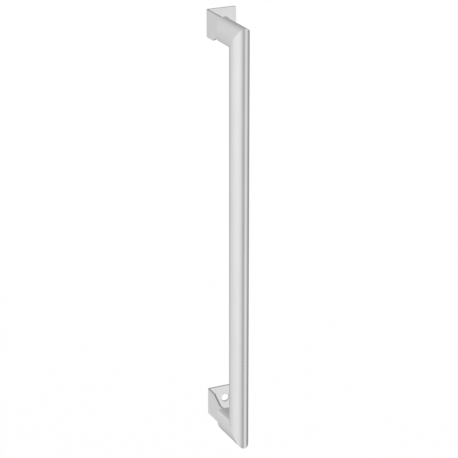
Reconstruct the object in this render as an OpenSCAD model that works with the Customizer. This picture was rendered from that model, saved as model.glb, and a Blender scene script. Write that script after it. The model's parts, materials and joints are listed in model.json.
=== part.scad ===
// Folding door pull: a mitred oval tube grip held on two folded sheet brackets.
// Millimetres, +Z up. The wall face is Y = 0 and the grip stands towards -Y.
// The origin is midway between the two screw holes, on the wall face.

/* [Fixing] */
// distance between the two screw holes
hole_pitch = 288; // [200:1:400]
// screw hole diameter
hole_d = 6; // [4:0.1:7]
// width of the chamfer broken round the hole mouth
hole_chamfer = 0.25; // [0.1:0.05:0.5]

/* [Bracket sheet] */
// sheet thickness
sheet_t = 1.5; // [1:0.1:2]
// inside radius of the fold
fold_r = 0.4; // [0.2:0.1:1]
// width of the back plate, from the outer face of the flange
plate_w = 22.5; // [20:0.5:32]
// height of the back plate and of the flange at its root
plate_h = 19.5; // [18:0.5:26]
// hole centre from the outer face of the flange
hole_in = 14; // [11:0.5:15]
// corner radius on the free edge of the back plate
plate_corner_r = 0.5; // [0.3:0.1:2]
// distance from the wall at which the flange starts to narrow
taper_start = 11.4; // [8:0.2:14]
// distance from the wall at which the flange is down to tongue height
taper_end = 21; // [18:0.5:26]
// length of tongue inside the tube
tongue_in = 14; // [8:0.5:17]
// corner cut at the leading end of the tongue
tongue_lead = 1.5; // [0.5:0.1:3]

/* [Tube section] */
// width of the tube across the grip
tube_w = 11.4; // [10.6:0.1:13]
// depth of the tube, from its back to its nose
tube_t = 16.6; // [15.6:0.1:20]
// wall thickness
wall_t = 1; // [0.8:0.1:1.1]
// radius of the nose, less than half the width
nose_r = 4.5; // [4:0.1:4.9]
// radius of the two corners at the back
back_r = 1.3; // [1.2:0.1:1.8]
// radius of the slight crown on each side of the flat seat at the back
crown_r = 11.3; // [9:0.1:13]

/* [Reach] */
// distance from the wall to the nose of the grip
reach = 62.6; // [58:0.5:90]
// distance from the wall to the open end of each arm
arm_start = 27.6; // [27:0.2:32]

/* [Fits] */
// clearance between the outer edge of the tongue and the bore
tongue_gap = 0.1; // [0.05:0.05:0.3]

/* [Hidden] */
$fn = 96;
eps = 0.02;
cut = 4;
// the flange lies in the middle plane of the tube
mid_x = sheet_t / 2 - hole_in;
// plates end half a plate beyond the hole centres
plate_top = hole_pitch / 2 + plate_h / 2;
// lengths kept to a thousandth, so that arcs and straight edges meet exactly
function grid(v) = round(v * 1000) / 1000;
// the nose stands proud of the flange by the wall, its curve over half a sheet and the clearance
bore_nose_r = nose_r - wall_t;
nose_sag = bore_nose_r - sqrt(pow(bore_nose_r, 2) - pow(sheet_t / 2, 2));
tube_top = grid(plate_top + wall_t + nose_sag + tongue_gap);
tube_inner = tube_top - tube_t;
tongue_low = tube_inner + wall_t;
grip_back = reach - tube_t;
// arcs of the tube outline: each centre serves the outside and the bore alike
side_step = 0.008 * round((tube_w / 2 - nose_r) / 0.008);
half_w = grid(nose_r + side_step);
nose_y = grid(tube_t - nose_r);
front_x = 14.625 * side_step;
front_y = nose_y - 5.5 * side_step;
front_r = nose_r + 15.625 * side_step;
crown_run = round((crown_r - back_r) * 10) / 10;
corner_y = back_r + 0.04 * crown_run;
side_run = floor((front_y - corner_y - 0.2) / 0.028) / 10;
side_y = corner_y + 0.28 * side_run;
side_x = side_run + back_r - half_w;
corner_x = half_w - back_r - 0.04 * side_run;
seat_x = corner_x - 0.28 * crown_run;

// Part of the plane between two heights.
module strip(low, high) {
    translate([-tube_w, low]) square([2 * tube_w, high - low]);
}

// Disc on each side of the middle, kept outside the centre x and between two heights.
module round_ends(x, y, r, low, high) {
    for (s = [-1, 1])
        intersection() {
            translate([s * x, y]) circle(r = r);
            translate([s > 0 ? x : -x - r, low]) square([r, high - low]);
        }
}

// Oval outline drawn in by an inset: back on y = 0, nose at y = tube_t. Every arc keeps its centre
// and gives up the inset, so the bore runs parallel to the outside. Two arcs touch where the line
// through their centres is the long side of a whole-number triangle, which leaves no kink:
// 44-117-125 beside the nose, 7-24-25 at both ends of a corner.
module oval(inset) {
    nose = nose_r - inset;
    corner = back_r - inset;
    touch_y = nose_y + 0.352 * nose;
    root_y = corner_y - 0.28 * corner;
    foot_y = corner_y - 0.96 * corner;
    union() {
        intersection() {
            translate([0, nose_y]) circle(r = nose);
            strip(touch_y, tube_t + cut);
        }
        intersection() {
            translate([front_x, front_y]) circle(r = front_r - inset);
            translate([-front_x, front_y]) circle(r = front_r - inset);
            strip(front_y, touch_y);
        }
        translate([inset - half_w, side_y]) square([2 * (half_w - inset), front_y - side_y]);
        intersection() {
            translate([side_x, side_y]) circle(r = side_run + corner);
            translate([-side_x, side_y]) circle(r = side_run + corner);
            strip(root_y, side_y);
        }
        translate([-corner_x, foot_y]) square([2 * corner_x, root_y - foot_y]);
        round_ends(corner_x, corner_y, corner, foot_y, root_y);
        translate([-seat_x, inset]) square([2 * seat_x, foot_y - inset]);
        round_ends(seat_x, crown_run + back_r, crown_run + corner, -cut, foot_y);
    }
}

module tube_section() {
    difference() {
        oval(0);
        oval(wall_t);
    }
}

// A prism across the whole width, from an outline drawn in Y and Z.
module side_prism(points) {
    translate([mid_x - tube_w, 0, 0])
        rotate([90, 0, 90])
            linear_extrude(2 * tube_w) polygon(points);
}

// Vertical grip, cut at 45 degrees at both ends.
module grip_bar() {
    color("silver") intersection() {
        translate([mid_x, -grip_back, -tube_top])
            mirror([0, 1, 0])
                linear_extrude(2 * tube_top) tube_section();
        side_prism([
            [-reach - cut, -tube_top - cut],
            [-grip_back + cut, -tube_inner + cut],
            [-grip_back + cut, tube_inner - cut],
            [-reach - cut, tube_top + cut]
        ]);
    }
}

// Short arm from its open end by the wall to the mitre at the grip.
module upper_arm() {
    color("silver") intersection() {
        translate([mid_x, -arm_start, tube_inner])
            rotate([90, 0, 0])
                linear_extrude(reach - arm_start) tube_section();
        side_prism([
            [-arm_start + cut, tube_inner - cut],
            [-arm_start + cut, tube_top + cut],
            [-reach - cut, tube_top + cut],
            [-grip_back + cut, tube_inner - cut]
        ]);
    }
}

module lower_arm() {
    mirror([0, 0, 1]) upper_arm();
}

// Plan of the fold: back plate on the wall, quarter bend, root of the flange.
module fold_plan() {
    bend_r = sheet_t + fold_r;
    left = -hole_in;
    union() {
        translate([left + bend_r, -sheet_t]) square([plate_w - bend_r, sheet_t]);
        intersection() {
            translate([left + bend_r, -bend_r]) difference() {
                circle(r = bend_r);
                circle(r = fold_r);
            }
            translate([left, -bend_r]) square([bend_r, bend_r]);
        }
    }
}

// Flange outline in Y and Z: straight outer edge, inner edge narrowing to the tongue.
module flange() {
    root = sheet_t + fold_r;
    tip = arm_start + tongue_in;
    translate([-hole_in, 0, 0])
        rotate([90, 0, 90])
            linear_extrude(sheet_t) polygon([
                [-root, plate_top - plate_h],
                [-taper_start, plate_top - plate_h],
                [-taper_end, tongue_low],
                [-tip + tongue_lead, tongue_low],
                [-tip, tongue_low + tongue_lead],
                [-tip, plate_top - tongue_lead],
                [-tip + tongue_lead, plate_top],
                [-root, plate_top]
            ]);
}

module plate_corner(z, up) {
    r = plate_corner_r;
    translate([plate_w - hole_in - r, 0, z - up * r])
        rotate([90, 0, 0])
            translate([0, 0, -cut])
                linear_extrude(sheet_t + 2 * cut) difference() {
                    translate([0, up > 0 ? 0 : -r - cut]) square([r + cut, r + cut]);
                    circle(r = r);
                }
}

module screw_hole() {
    translate([0, 0, hole_pitch / 2]) rotate([90, 0, 0]) {
        translate([0, 0, -cut]) cylinder(d = hole_d, h = sheet_t + 2 * cut);
        translate([0, 0, sheet_t - hole_chamfer])
            cylinder(d1 = hole_d, d2 = hole_d + 2 * (hole_chamfer + eps), h = hole_chamfer + eps);
    }
}

module upper_bracket() {
    color("silver") difference() {
        union() {
            translate([0, 0, plate_top - plate_h]) linear_extrude(plate_h) fold_plan();
            flange();
        }
        plate_corner(plate_top, 1);
        plate_corner(plate_top - plate_h, -1);
        screw_hole();
    }
}

module lower_bracket() {
    mirror([0, 0, 1]) upper_bracket();
}

grip_bar();
upper_arm();
lower_arm();
upper_bracket();
lower_bracket();
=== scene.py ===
import json
import math
import bpy
import numpy as np
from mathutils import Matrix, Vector


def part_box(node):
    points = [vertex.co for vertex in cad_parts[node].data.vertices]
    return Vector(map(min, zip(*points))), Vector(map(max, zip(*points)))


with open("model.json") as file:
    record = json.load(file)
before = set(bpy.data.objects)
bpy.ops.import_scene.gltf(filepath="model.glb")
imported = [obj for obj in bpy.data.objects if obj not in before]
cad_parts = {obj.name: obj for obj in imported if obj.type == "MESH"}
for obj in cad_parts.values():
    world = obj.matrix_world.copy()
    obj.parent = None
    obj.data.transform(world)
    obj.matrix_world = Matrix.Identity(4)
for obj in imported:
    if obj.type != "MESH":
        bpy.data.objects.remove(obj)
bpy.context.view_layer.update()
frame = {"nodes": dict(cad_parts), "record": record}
print("frame loaded:", sorted(frame["nodes"]))


# a shader socket that takes part in plain Python sums; with no socket it is the start of a tree
class Wire:
    def __init__(self, tree, socket=None):
        self.tree = tree
        self.socket = socket

    # any node: its type, its settings, its sockets; gives back one of its outputs
    def node(self, kind, settings=None, sockets=None, output=0):
        made = self.tree.nodes.new(kind)
        for key, value in (settings or {}).items():
            setattr(made, key, value)
        for key, value in (sockets or {}).items():
            if isinstance(value, Wire):
                self.tree.links.new(value.socket, made.inputs[key])
            else:
                made.inputs[key].default_value = value
        return Wire(self.tree, made.outputs[output]) if made.outputs else None

    # another output of the same node
    def also(self, output):
        return Wire(self.tree, self.socket.node.outputs[output])

    def math(self, operation, *values):
        return self.node("ShaderNodeMath", {"operation": operation}, dict(enumerate(values)))

    def __add__(self, other):
        return self.math("ADD", self, other)

    def __radd__(self, other):
        return self.math("ADD", other, self)

    def __sub__(self, other):
        return self.math("SUBTRACT", self, other)

    def __rsub__(self, other):
        return self.math("SUBTRACT", other, self)

    def __mul__(self, other):
        return self.math("MULTIPLY", self, other)

    def __rmul__(self, other):
        return self.math("MULTIPLY", other, self)

    def __abs__(self):
        return self.math("ABSOLUTE", self)

    def root(self):
        return self.math("SQRT", self)

    def exp(self):
        return self.math("EXPONENT", self)

    # 0 below low, 1 above high, eased between
    def ramp(self, low, high):
        return self.node("ShaderNodeMapRange", {"interpolation_type": "SMOOTHSTEP"},
                         {"Value": self, "From Min": low, "From Max": high})

    # this socket as the share of the second colour; Mix has its colours at 6 and 7, and gives one at 2
    def blend(self, first, second):
        return self.node("ShaderNodeMix", {"data_type": "RGBA"}, {0: self, 6: first, 7: second}, 2)


def newMaterial(name):
    material = bpy.data.materials.new(name)
    material.use_nodes = True
    material.node_tree.nodes.clear()
    return material, Wire(material.node_tree)


# noise lies mostly between low and high, about its middle
noiseSet = {"roughness": 0.55, "low": 0.3, "middle": 0.5, "high": 0.7}


# one scale along the length of a piece, another across it
def scaleOnAxes(along, lengthwise, across):
    return [lengthwise if axis == along else across for axis in "xyz"]


# noise drawn out by its scale on each axis
def stretchedNoise(start, place, scale, detail):
    mapped = start.node("ShaderNodeMapping", {}, {"Vector": place, "Scale": scale})
    return start.node("ShaderNodeTexNoise", {}, {
        "Vector": mapped, "Scale": 1.0, "Detail": detail, "Roughness": noiseSet["roughness"]})


# fine marks and a broad cloud in one value from 0 to 1
def unevenness(fine, cloud, cloudShare):
    return (fine * (1 - cloudShare) + cloud * cloudShare).ramp(noiseSet["low"], noiseSet["high"])


def metalShader(start, colour, rough, height, bumpStrength, bumpDepth):
    bump = start.node("ShaderNodeBump", {}, {
        "Strength": bumpStrength, "Distance": bumpDepth, "Height": height})
    shader = start.node("ShaderNodeBsdfPrincipled", {}, {
        "Base Color": colour, "Metallic": 1.0, "Roughness": rough, "Normal": bump})
    start.node("ShaderNodeOutputMaterial", {}, {"Surface": shader})


# satin anodised tube: die lines along the length, cloudy sheen, dressed mitres, sawn open ends
armLow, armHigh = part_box("upper_arm")
tubeFinish = {
    "colour": (0.857, 0.86, 0.857, 1), "shade": (0.815, 0.818, 0.817, 1),
    "sawnColour": (0.68, 0.68, 0.68, 1),
    "roughness": 0.27, "lineRoughness": 0.05, "cloudRoughness": 0.05,
    "sawnRoughness": 0.14, "dressedRoughness": 0.06,
    "lineScaleAlong": 9.0, "lineScaleAcross": 2600.0, "lineDetail": 3.0,
    "lineDepth": 0.00001, "lineBump": 0.35,
    "cloudScaleAlong": 30.0, "cloudScaleAcross": 220.0, "cloudDetail": 2.0, "cloudShare": 0.5,
    "noseFront": armLow.y, "noseTop": armHigh.z, "openEnd": armHigh.y,
    "mitreCrease": 0.0001, "mitreWidth": 0.0006, "sawnDepth": 0.0001, "sawnFull": 0.00002,
}


def anodisedTube(name, along):
    finish = tubeFinish
    material, start = newMaterial(name)
    place = start.node("ShaderNodeTexCoord", output="Object")
    lineScale = scaleOnAxes(along, finish["lineScaleAlong"], finish["lineScaleAcross"])
    cloudScale = scaleOnAxes(along, finish["cloudScaleAlong"], finish["cloudScaleAcross"])
    dieLines = stretchedNoise(start, place, lineScale, finish["lineDetail"])
    cloud = stretchedNoise(start, place, cloudScale, finish["cloudDetail"])
    x = start.node("ShaderNodeSeparateXYZ", {}, {0: place})
    y, z = x.also("Y"), x.also("Z")
    # the mitre plane is as far behind the nose as it is below the top; top and bottom alike
    mitreGap = abs((y - finish["noseFront"]) - (finish["noseTop"] - abs(z))) * math.sqrt(0.5)
    dressed = 1 - mitreGap.ramp(finish["mitreCrease"], finish["mitreWidth"])
    sawn = (y - finish["openEnd"]).ramp(-finish["sawnDepth"], -finish["sawnFull"])
    tone = unevenness(dieLines, cloud, finish["cloudShare"])
    colour = sawn.blend(tone.blend(finish["shade"], finish["colour"]), finish["sawnColour"])
    middle = noiseSet["middle"]
    rough = (finish["roughness"] + (dieLines - middle) * finish["lineRoughness"]
             + (cloud - middle) * finish["cloudRoughness"]
             + dressed * finish["dressedRoughness"] + sawn * finish["sawnRoughness"])
    metalShader(start, colour, rough, dieLines, finish["lineBump"], finish["lineDepth"])
    return material


# satin anodised sheet: rolling grain, faint cloud, rougher sheared edges with painted shade on those
# that look up or down, painted shade and more roughness at the hole rim
screwHoles = next(mount["dims"] for mount in frame["record"]["mounts"] if mount["name"] == "screw_holes")
sheetFinish = {
    "colour": (0.86, 0.863, 0.86, 1), "shade": (0.81, 0.814, 0.813, 1),
    "shearedPaintedShadeColour": (0.70, 0.70, 0.70, 1),
    "roughness": 0.23, "grainRoughness": 0.06, "shearedRoughness": 0.10, "rimRoughness": 0.08,
    "grainScale": (1500.0, 1500.0, 60.0), "grainDetail": 3.0, "grainDepth": 0.000012, "grainBump": 0.35,
    "cloudScale": (160.0, 160.0, 160.0), "cloudDetail": 2.0, "cloudShare": 0.55,
    "holeRadius": screwHoles["hole_r_mm"] / 1000, "holeHeight": screwHoles["spacing_y_mm"] / 2 / 1000,
    "rimStart": 0.0001, "rimEnd": 0.0006, "rimPaintedShade": 0.5, "shearedShadeFrom": 0.2, "shearedShadeTo": 0.5,
}


def anodisedSheet(name):
    finish = sheetFinish
    material, start = newMaterial(name)
    place = start.node("ShaderNodeTexCoord", output="Object")
    grain = stretchedNoise(start, place, finish["grainScale"], finish["grainDetail"])
    cloud = stretchedNoise(start, place, finish["cloudScale"], finish["cloudDetail"])
    x = start.node("ShaderNodeSeparateXYZ", {}, {0: place})
    up = abs(x.also("Z")) - finish["holeHeight"]
    pastHole = (x * x + up * up).root() - finish["holeRadius"]
    rim = 1 - pastHole.ramp(finish["rimStart"], finish["rimEnd"])
    # faces of the sheet stand upright, its sheared edges look up or down; painted shade darkens the
    # colour of those edges, which are also rougher
    facing = start.node("ShaderNodeSeparateXYZ", {}, {0: place.also("Normal")}, "Z")
    shearedAndPaintedShade = abs(facing).ramp(finish["shearedShadeFrom"], finish["shearedShadeTo"])
    # painted shade: the tone darkens at the rim of each screw hole, which is also rougher
    tone = unevenness(grain, cloud, finish["cloudShare"]) * (1 - rim * finish["rimPaintedShade"])
    colour = shearedAndPaintedShade.blend(tone.blend(finish["shade"], finish["colour"]), finish["shearedPaintedShadeColour"])
    rough = (finish["roughness"] + (grain - noiseSet["middle"]) * finish["grainRoughness"]
             + rim * finish["rimRoughness"] + shearedAndPaintedShade * finish["shearedRoughness"])
    metalShader(start, colour, rough, grain, finish["grainBump"], finish["grainDepth"])
    return material


finishes = {
    "grip_bar": anodisedTube("satinTubeUpright", "z"),
    "upper_arm": anodisedTube("satinTubeUpperArm", "y"),
    "lower_arm": anodisedTube("satinTubeLowerArm", "y"),
    "upper_bracket": anodisedSheet("satinSheetUpper"),
    "lower_bracket": anodisedSheet("satinSheetLower"),
}
for name, material in finishes.items():
    slots = frame["nodes"][name].data.materials
    slots.clear()
    slots.append(material)
print("finishes on", len(finishes), "pieces")


# unit vector: 0 degrees of turn looks to the front (-Y), 90 to the right (+X)
def heading(turn, tilt):
    turn, tilt = math.radians(turn), math.radians(tilt)
    return Vector((math.sin(turn) * math.cos(tilt), -math.cos(turn) * math.cos(tilt), math.sin(tilt)))


# plain white room, the same for every ray
def whiteRoom():
    world = bpy.data.worlds.new("whiteRoom")
    world.use_nodes = True
    world.node_tree.nodes.clear()
    start = Wire(world.node_tree)
    white = start.node("ShaderNodeBackground", {}, {"Color": (1, 1, 1, 1), "Strength": 1.0})
    start.node("ShaderNodeOutputWorld", {}, {"Surface": white})
    bpy.context.scene.world = world


whiteRoom()


def stageObject(name, points, faces, material):
    mesh = bpy.data.meshes.new(name)
    mesh.from_pydata(points.tolist(), [], faces)
    mesh.materials.append(material)
    made = bpy.data.objects.new(name, mesh)
    bpy.context.scene.collection.objects.link(made)
    return made


# dark gauze tent between the metal and the white room, thinner where a tall soft glow comes through;
# turn is from the front to the right and tilt is up, in degrees, and a tight glow is a narrow one
tentSet = {
    "half": 3.0,
    "haze": 0.09,     # white that comes through everywhere
    "flatten": 0.45,  # heights count this much, which draws every glow out upwards
    "glows": {
        "left": {"turn": -115, "tilt": 0, "strength": 0.80, "tightness": 3.0},
        "frontLeft": {"turn": -50, "tilt": 0, "strength": 0.60, "tightness": 3.7},
        "frontRight": {"turn": 33, "tilt": -12, "strength": 0.78, "tightness": 8.0},
        "right": {"turn": 85, "tilt": 20, "strength": 0.37, "tightness": 3.5},
        "behind": {"turn": 180, "tilt": 30, "strength": 0.41, "tightness": 3.7},
        "behindLow": {"turn": -158, "tilt": -31, "strength": 0.44, "tightness": 24.0},
    },
}


def gauze():
    material, start = newMaterial("gauze")
    place = start.node("ShaderNodeTexCoord", output="Object")
    flattened = start.node("ShaderNodeVectorMath", {"operation": "MULTIPLY"},
                           {0: place, 1: (1, 1, tentSet["flatten"])})
    tall = start.node("ShaderNodeVectorMath", {"operation": "NORMALIZE"}, {0: flattened})
    thin = tentSet["haze"]
    for glow in tentSet["glows"].values():
        # each glow falls off as exp(tightness * (cosine of the angle off its middle - 1))
        cosine = start.node("ShaderNodeVectorMath", {"operation": "DOT_PRODUCT"},
                            {0: tall, 1: heading(glow["turn"], glow["tilt"])}, "Value")
        thin = thin + ((cosine - 1.0) * glow["tightness"]).exp() * glow["strength"]
    dark = start.node("ShaderNodeBsdfDiffuse", {}, {"Color": (0, 0, 0, 1)})
    clear = start.node("ShaderNodeBsdfTransparent")
    both = start.node("ShaderNodeMixShader", {}, {0: thin, 1: dark, 2: clear})
    start.node("ShaderNodeOutputMaterial", {}, {"Surface": both})
    return material


# box tent: its walls stand half a width off the middle on each axis, and corner 4i + 2j + k
# is on the high side in x where i is 1, in y where j is 1 and in z where k is 1
def gauzeTent():
    corners = np.stack(np.meshgrid((-1, 1), (-1, 1), (-1, 1), indexing="ij"), axis=-1).reshape(-1, 3)
    faces = [(0, 2, 3, 1), (4, 5, 7, 6), (0, 1, 5, 4), (2, 6, 7, 3), (0, 4, 6, 2), (1, 3, 7, 5)]
    tent = stageObject("gauzeTent", corners * tentSet["half"], faces, gauze())
    tent.visible_camera = False


gauzeTent()


# pale floor below the tent; the handle itself is held by its screws
floorSet = {"level": -3.2, "half": 20.0, "paint": 0.86, "whiteness": 0.98}


def paleFloor():
    paint, whiteness = floorSet["paint"], floorSet["whiteness"]
    material, start = newMaterial("paleFloor")
    matt = start.node("ShaderNodeBsdfDiffuse", {}, {"Color": (paint, paint, paint, 1)})
    glow = start.node("ShaderNodeEmission", {}, {"Color": (1, 1, 1, 1), "Strength": 1.0})
    # white to the camera, to mirroring metal and through glass alike
    seen = start.node("ShaderNodeLightPath", output="Is Camera Ray")
    seen = seen + seen.also("Is Glossy Ray") + seen.also("Is Transmission Ray")
    both = start.node("ShaderNodeMixShader", {}, {0: seen * whiteness, 1: matt, 2: glow})
    start.node("ShaderNodeOutputMaterial", {}, {"Surface": both})
    material.cycles.emission_sampling = "NONE"  # it is no lamp
    # flat grid: corner k at half * (sign of u, sign of v) on the floor level
    u, v = np.meshgrid((-1, 1), (-1, 1))
    half = floorSet["half"]
    points = np.stack([u.ravel() * half, v.ravel() * half, np.full(u.size, floorSet["level"])], axis=1)
    stageObject("floor", points, [(0, 1, 3, 2)], material)


paleFloor()


# camera: from the left and above, long lens; lengths in metres, lens in millimetres
cameraSet = {"turn": -25.1, "tilt": 21.0, "distance": 1.4, "aim": (-0.0099, -0.0291, 0.0013),
             "lens": 156.5, "sensor": 36.0, "near": 0.05, "far": 50.0}


def placeCamera():
    back = heading(cameraSet["turn"], cameraSet["tilt"])
    data = bpy.data.cameras.new("camera")
    camera = bpy.data.objects.new("camera", data)
    bpy.context.scene.collection.objects.link(camera)
    camera.location = Vector(cameraSet["aim"]) + back * cameraSet["distance"]
    camera.rotation_mode = "QUATERNION"
    camera.rotation_quaternion = (-back).to_track_quat("-Z", "Y")
    data.sensor_width = cameraSet["sensor"]
    data.lens = cameraSet["lens"]
    data.clip_start, data.clip_end = cameraSet["near"], cameraSet["far"]
    bpy.context.scene.camera = camera


placeCamera()


# one broad soft lamp from the left and above
lampSet = {"place": (-1.3, -0.9, 1.2), "size": 1.2, "power": 2.5}


def softLamp():
    data = bpy.data.lights.new("softLamp", "AREA")
    data.shape = "SQUARE"
    data.size = lampSet["size"]
    data.energy = lampSet["power"]
    lamp = bpy.data.objects.new("softLamp", data)
    bpy.context.scene.collection.objects.link(lamp)
    lamp.location = lampSet["place"]
    lamp.rotation_mode = "QUATERNION"
    lamp.rotation_quaternion = (-Vector(lampSet["place"])).to_track_quat("-Z", "Y")


softLamp()
bpy.context.scene.view_settings.view_transform = "Standard"
print("room, tent, floor, camera and lamp set")
